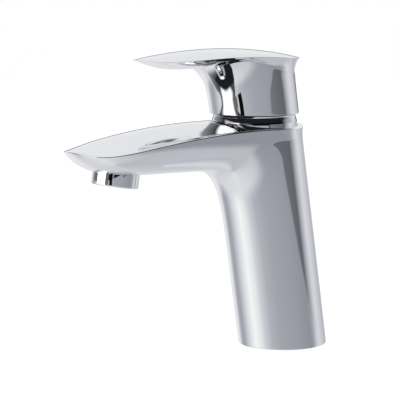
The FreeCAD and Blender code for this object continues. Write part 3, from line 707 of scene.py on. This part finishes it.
class FAUCET_OT_plug(bpy.types.Operator):
    """Small cap over the set screw at the back of the lever"""
    bl_idname = "faucet.plug"
    bl_label = "Add Screw Cap"

    def execute(self, context):
        low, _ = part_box("handle_plug")
        screw_height = SCREW_HEIGHT * MM
        bm = bmesh.new()
        bmesh.ops.create_circle(bm, segments=64, radius=0.00335, cap_ends=True)
        bmesh.ops.rotate(bm, verts=bm.verts, cent=(0, 0, 0),
                         matrix=Matrix.Rotation(math.radians(-90), 3, "X"))
        bmesh.ops.translate(bm, verts=bm.verts, vec=(0.0, low.y, screw_height))
        grown = bmesh.ops.extrude_face_region(bm, geom=bm.faces[:])["geom"]
        skirt_lean = (SCREW_HEIGHT - SKIRT_BOTTOM) * COLUMN_LEAN
        face_y = -AXIS_FORWARD + SKIRT_RADIUS - skirt_lean - 0.15
        for vert in grown:
            if isinstance(vert, bmesh.types.BMVert):
                vert.co.y = face_y * MM - (vert.co.z - screw_height) * COLUMN_LEAN
        lid = [face for face in grown if isinstance(face, bmesh.types.BMFace)]
        bmesh.ops.inset_region(bm, faces=lid, thickness=0.0006, depth=0.0001)
        face_outwards(bm)
        obj = object_from(bm, "screw_cap", chrome())
        add_edge_round(obj, 0.00025)
        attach(obj, "lever")
        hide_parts("handle_plug")
        return {"FINISHED"}


class FAUCET_OT_inner_parts(bpy.types.Operator):
    """Finishes of the seals, the cartridge and the aerator's inner parts"""
    bl_idname = "faucet.inner_parts"
    bl_label = "Finish Inner Parts"

    def execute(self, context):
        groups = {
            rubber: ("base_gasket", "port_seals", "collar_seal", "aerator_seal"),
            lapped_ceramic: ("fixed_ceramic_disc", "moving_ceramic_disc"),
            white_plastic: ("disc_carrier", "cartridge_housing", "stem_guide", "cartridge_base"),
            grey_plastic: ("aerator_outlet_grid", "aerator_insert", "aerator_flow_regulator",
                           "temperature_limiter", "friction_washer"),
            turned_brass: ("cartridge_stem", "cartridge_nut"),
            plain_steel: ("pivot_pin", "handle_set_screw", "aerator_screen"),
        }
        for make, names in groups.items():
            for name in names:
                obj = node_object(name)
                obj.data.materials.clear()
                obj.data.materials.append(make())
        return {"FINISHED"}


# ------------------------------------------------------------------ stage
# Light walls round the faucet: (degrees from the front, brightness), one row for each height.
LOW_WALL = ((-180, 0.66), (-168, 0.62), (-155, 0.48), (-132, 0.70), (-94, 0.88), (-82, 0.76),
            (-70, 0.42), (-58, 0.40), (-34, 0.76), (-15, 0.99), (2, 0.86), (16, 0.65),
            (35, 0.48), (60, 0.405), (105, 0.36), (140, 0.31), (150, 0.38), (160, 0.62),
            (172, 0.76), (180, 0.66))
EYE_WALL = ((-180, 0.72), (-164, 0.60), (-150, 0.40), (-143, 0.14), (-104, 0.14), (-97, 0.85),
            (-76, 0.60), (-60, 0.20), (-30, 0.10), (-24, 1.15), (6, 1.15), (12, 0.16),
            (20, 0.01), (34, 0.01), (40, 0.36), (50, 0.30), (56, 0.002), (96, 0.002),
            (102, 0.21), (122, 0.17), (145, 0.14), (151, 0.34), (160, 0.55), (168, 0.70), (180, 0.72))
HIGH_WALL = ((-180, 0.60), (-150, 0.84), (-95, 0.88), (-80, 0.30), (-36, 0.05), (-24, 1.35),
             (12, 1.35), (20, 0.06), (34, 0.14), (52, 0.002), (140, 0.003), (156, 0.35),
             (180, 0.55))
TOP_WALL = ((-180, 0.30), (-155, 0.80), (-95, 0.86), (-75, 0.20), (-55, 0.016), (148, 0.014),
            (160, 0.12), (180, 0.30))
FLOOR_WALL = ((-180, 0.56), (-120, 0.66), (0, 0.80), (60, 0.70), (130, 0.54), (180, 0.56))


def wall_ramp(nodes, links, turns, stops):
    """Brightness round the compass, a touch bluer where it is dim."""
    ramp = nodes.new("ShaderNodeValToRGB")
    elements = ramp.color_ramp.elements
    while len(elements) < len(stops):
        elements.new(0.5)
    for element, (degrees, _) in zip(elements, stops):
        element.position = degrees / 360.0 + 0.5
    for element, (_, value) in zip(elements, stops):
        cool = max(0.0, min(1.0, 1.0 - value))
        element.color = (value * (1.0 - 0.07 * cool), value * (1.0 - 0.025 * cool),
                         value * (1.0 + 0.15 * cool), 1.0)
    links.new(turns, ramp.inputs["Fac"])
    return ramp.outputs["Color"]


def studio_world():
    world = bpy.data.worlds.new("studio")
    bpy.context.scene.world = world
    world.use_nodes = True
    nodes, links = world.node_tree.nodes, world.node_tree.links
    nodes.clear()

    def node(kind, **settings):
        made = nodes.new(kind)
        for key, value in settings.items():
            setattr(made, key, value)
        return made

    out = node("ShaderNodeOutputWorld")
    coords = node("ShaderNodeTexCoord")
    split = node("ShaderNodeSeparateXYZ")
    links.new(coords.outputs["Generated"], split.inputs[0])
    flip = node("ShaderNodeMath", operation="MULTIPLY")
    flip.inputs[1].default_value = -1.0
    links.new(split.outputs["Y"], flip.inputs[0])
    bearing = node("ShaderNodeMath", operation="ARCTAN2")
    links.new(split.outputs["X"], bearing.inputs[0])
    links.new(flip.outputs[0], bearing.inputs[1])
    turns = node("ShaderNodeMapRange")
    turns.inputs["From Min"].default_value = -math.pi
    turns.inputs["From Max"].default_value = math.pi
    links.new(bearing.outputs[0], turns.inputs["Value"])
    rise = node("ShaderNodeMath", operation="ARCSINE")
    links.new(split.outputs["Z"], rise.inputs[0])

    def step_up(low, high, along=rise):
        change = node("ShaderNodeMapRange", interpolation_type="SMOOTHSTEP")
        change.inputs["From Min"].default_value = math.radians(low)
        change.inputs["From Max"].default_value = math.radians(high)
        links.new(along.outputs[0], change.inputs["Value"])
        return change.outputs["Result"]

    def blended(factor, first, second):
        mix = node("ShaderNodeMix", data_type="RGBA")
        links.new(factor, mix.inputs["Factor"])
        links.new(first, mix.inputs[6])
        if isinstance(second, tuple):
            mix.inputs[7].default_value = second
        else:
            links.new(second, mix.inputs[7])
        return mix.outputs[2]

    floor, low, eye, high, top = (
        wall_ramp(nodes, links, turns.outputs["Result"], stops)
        for stops in (FLOOR_WALL, LOW_WALL, EYE_WALL, HIGH_WALL, TOP_WALL))
    slope = node("ShaderNodeMapRange")
    slope.inputs["From Min"].default_value = math.radians(118)
    slope.inputs["From Max"].default_value = math.radians(152)
    slope.inputs["To Max"].default_value = math.radians(1.4)
    links.new(bearing.outputs[0], slope.inputs["Value"])
    drop = node("ShaderNodeMapRange")
    drop.inputs["From Min"].default_value = math.radians(95)
    drop.inputs["From Max"].default_value = math.radians(98)
    drop.inputs["To Min"].default_value = math.radians(-4.5)
    drop.inputs["To Max"].default_value = 0.0
    links.new(bearing.outputs[0], drop.inputs["Value"])
    leaned = node("ShaderNodeMath", operation="ADD")
    links.new(slope.outputs["Result"], leaned.inputs[0])
    links.new(drop.outputs["Result"], leaned.inputs[1])
    sloped = node("ShaderNodeMath", operation="ADD")
    links.new(rise.outputs[0], sloped.inputs[0])
    links.new(leaned.outputs[0], sloped.inputs[1])
    room = blended(step_up(-45, -24), floor, low)
    room = blended(step_up(-7.6, -6.6, sloped), room, eye)
    room = blended(step_up(2, 8), room, high)
    room = blended(step_up(15, 24), room, top)
    room = blended(step_up(62, 78), room, (0.01, 0.0105, 0.012, 1.0))
    seen = node("ShaderNodeBackground")
    seen.inputs["Color"].default_value = (1, 1, 1, 1)
    around = node("ShaderNodeBackground")
    links.new(room, around.inputs["Color"])
    path = node("ShaderNodeLightPath")
    choose = node("ShaderNodeMixShader")
    links.new(path.outputs["Is Camera Ray"], choose.inputs["Fac"])
    links.new(around.outputs[0], choose.inputs[1])
    links.new(seen.outputs[0], choose.inputs[2])
    links.new(choose.outputs[0], out.inputs["Surface"])


def light_card(name, bearing_from, bearing_to, brightness, low=35.0, high=125.0, away=250.0):
    """Upright card in front of the lever that only shows in the plate."""
    middle = math.radians((bearing_from + bearing_to) / 2.0)
    half = away * math.sin(math.radians(abs(bearing_to - bearing_from) / 2.0))
    bm = bmesh.new()
    made = bmesh.ops.create_grid(bm, x_segments=1, y_segments=1, size=0.5)["verts"]
    bmesh.ops.scale(bm, verts=made, vec=(2.0 * half * MM, (high - low) * MM, 1.0))
    bmesh.ops.rotate(bm, verts=made, cent=(0, 0, 0), matrix=Matrix.Rotation(math.radians(90), 3, "X"))
    bmesh.ops.rotate(bm, verts=made, cent=(0, 0, 0), matrix=Matrix.Rotation(middle, 3, "Z"))
    bmesh.ops.translate(bm, verts=made, vec=Vector((
        10.0 + away * math.sin(middle), -42.0 - away * math.cos(middle), (low + high) / 2.0)) * MM)
    material = bpy.data.materials.new(name)
    material.use_nodes = True
    nodes, links = material.node_tree.nodes, material.node_tree.links
    nodes.clear()
    glow = nodes.new("ShaderNodeEmission")
    glow.inputs["Strength"].default_value = brightness
    out = nodes.new("ShaderNodeOutputMaterial")
    links.new(glow.outputs[0], out.inputs["Surface"])
    card = object_from(bm, name, material, smooth=False)
    card.visible_camera = False
    card.visible_diffuse = False
    card.visible_shadow = False


class FAUCET_OT_studio(bpy.types.Operator):
    """Pale floor, soft surroundings and the camera"""
    bl_idname = "faucet.studio"
    bl_label = "Add Studio"

    def execute(self, context):
        scene = context.scene
        studio_world()
        bm = bmesh.new()
        bmesh.ops.create_circle(bm, segments=64, radius=2.5, cap_ends=True)
        pale = bpy.data.materials.new("pale floor")
        pale.use_nodes = True
        shader = pale.node_tree.nodes["Principled BSDF"]
        shader.inputs["Base Color"].default_value = (0.85, 0.85, 0.86, 1.0)
        shader.inputs["Roughness"].default_value = 0.9
        shader.inputs["Emission Color"].default_value = (1.0, 1.0, 1.0, 1.0)
        shader.inputs["Emission Strength"].default_value = 0.92
        floor = object_from(bm, "studio_floor", pale, smooth=False)
        floor.visible_glossy = False

        light_card("window_card", -27, 9, 1.8, low=55.0)
        light_card("window_foot", -8, 6, 1.8, low=8.0, high=55.0)
        light_card("grey_card", 8, 20, 0.15)
        light_card("dark_card", 24, 35, 0.004)

        azimuth = math.radians(56.43)
        heading = azimuth + math.radians(2.70)
        pitch = math.radians(7.29)
        roll = math.radians(-0.31)
        away = 0.982
        eye_height = 0.2067
        ahead = Vector((-math.sin(heading) * math.cos(pitch), math.cos(heading) * math.cos(pitch),
                        -math.sin(pitch)))
        right = Vector((math.cos(heading), math.sin(heading), 0.0))
        up = right.cross(ahead)
        side = right * math.cos(roll) + up * math.sin(roll)
        top = up * math.cos(roll) - right * math.sin(roll)
        turn = Matrix((side, top, -ahead)).transposed()
        data = bpy.data.cameras.new("front camera")
        data.sensor_width = 36.0
        data.lens = 158.094
        data.clip_start = 0.01
        data.clip_end = 20.0
        camera = bpy.data.objects.new("front camera", data)
        scene.collection.objects.link(camera)
        spot = Vector((away * math.sin(azimuth), -away * math.cos(azimuth), eye_height))
        camera.matrix_world = Matrix.Translation(spot) @ turn.to_4x4()
        scene.camera = camera
        scene.view_settings.view_transform = "Standard"
        scene.view_settings.look = "None"
        return {"FINISHED"}


class FAUCET_PT_panel(bpy.types.Panel):
    """Pieces, sizes and finishes of the faucet"""
    bl_idname = "FAUCET_PT_panel"
    bl_label = "Basin Mixer Faucet"
    bl_space_type = "VIEW_3D"
    bl_region_type = "UI"
    bl_category = "Faucet"

    def draw(self, context):
        layout = self.layout
        finish_box = layout.box()
        finish_box.prop(context.scene.faucet_finish, "chrome_tint")
        finish_box.prop(context.scene.faucet_finish, "polish")
        size_box = layout.box()
        size_box.prop(context.scene.faucet_sizes, "rim_round")
        size_box.prop(context.scene.faucet_sizes, "skin_levels")
        for name in PIECES:
            layout.operator(name)


PIECES = ("faucet.body", "faucet.handle", "faucet.collar", "faucet.aerator", "faucet.plug",
          "faucet.inner_parts", "faucet.studio")
CLASSES = (FaucetFinish, FaucetSizes, FAUCET_OT_body, FAUCET_OT_handle, FAUCET_OT_collar,
           FAUCET_OT_aerator, FAUCET_OT_plug, FAUCET_OT_inner_parts, FAUCET_OT_studio,
           FAUCET_PT_panel)


def register():
    for cls in CLASSES:
        bpy.utils.register_class(cls)
    bpy.types.Scene.faucet_finish = PointerProperty(type=FaucetFinish)
    bpy.types.Scene.faucet_sizes = PointerProperty(type=FaucetSizes)


def unregister():
    del bpy.types.Scene.faucet_sizes
    del bpy.types.Scene.faucet_finish
    for cls in reversed(CLASSES):
        bpy.utils.unregister_class(cls)


def main():
    register()
    for name in PIECES:
        group, operator = name.split(".")
        getattr(getattr(bpy.ops, group), operator)()


if __name__ == "__main__":
    main()
